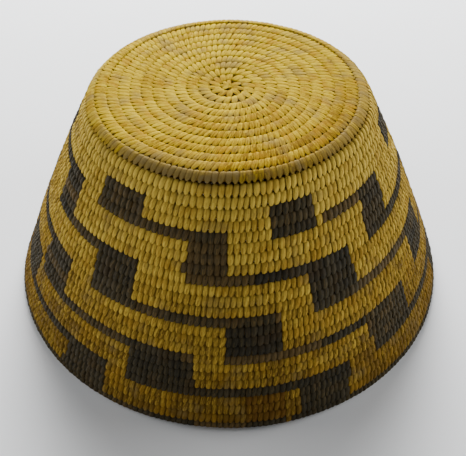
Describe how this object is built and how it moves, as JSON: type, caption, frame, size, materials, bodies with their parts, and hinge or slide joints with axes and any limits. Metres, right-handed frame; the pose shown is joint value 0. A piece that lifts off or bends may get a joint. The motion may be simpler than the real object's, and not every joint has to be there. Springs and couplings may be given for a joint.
{
  "type": "coiled basketry hat",
  "caption": "Stiff coiled basketry hat: a flat spiral crown and a flaring truncated-cone wall, worn on the head or rested on its level sewn rim.",
  "frame": {"origin": "centre of the rim, in the plane that the rim stands on", "axes": "+Z is the hat's own axis, from the open rim up to the crown; +Y points to the back, where the coil's seam lies; +X is to the right seen from the front"},
  "size_m": [0.2101, 0.2101, 0.101],
  "materials": {
    "golden_splints": "matt, lightly polished split plant stitches in straw to golden ochre",
    "dark_splints": "matt dyed split plant stitches, blue-black fading to brown",
    "grass_bundle": "matt dry grass stems"
  },
  "bodies": {
    "root": {"start_knot": "grass_bundle", "crown_coil_01": "golden_splints", "crown_coil_02": "golden_splints", "crown_coil_03": "golden_splints", "crown_coil_04": "golden_splints", "crown_coil_05": "golden_splints", "crown_coil_06": "golden_splints", "crown_coil_07": "golden_splints", "crown_coil_08": "golden_splints", "crown_coil_09": "golden_splints", "crown_coil_10": "golden_splints", "crown_edge_coil": "golden_splints", "wall_coil_01": "golden_splints", "wall_coil_02": "golden_splints", "wall_coil_03": "golden_splints", "wall_coil_04": "golden_splints", "wall_coil_05": "golden_splints", "wall_coil_06": "golden_splints", "wall_coil_07": "golden_splints", "wall_coil_08": "golden_splints", "wall_coil_09": "golden_splints", "wall_coil_10": "golden_splints", "wall_coil_11": "golden_splints", "wall_coil_12": "golden_splints", "wall_coil_13": "golden_splints", "wall_coil_14": "golden_splints", "wall_coil_15": "golden_splints", "wall_coil_16": "golden_splints", "wall_coil_17": "golden_splints", "wall_coil_18": "golden_splints", "wall_coil_19": "golden_splints", "wall_coil_20": "golden_splints", "wall_coil_21": "golden_splints", "wall_coil_22": "golden_splints", "wall_coil_23": "golden_splints", "wall_coil_24": "golden_splints", "rim_coil": "dark_splints"}
  },
  "joints": []
}
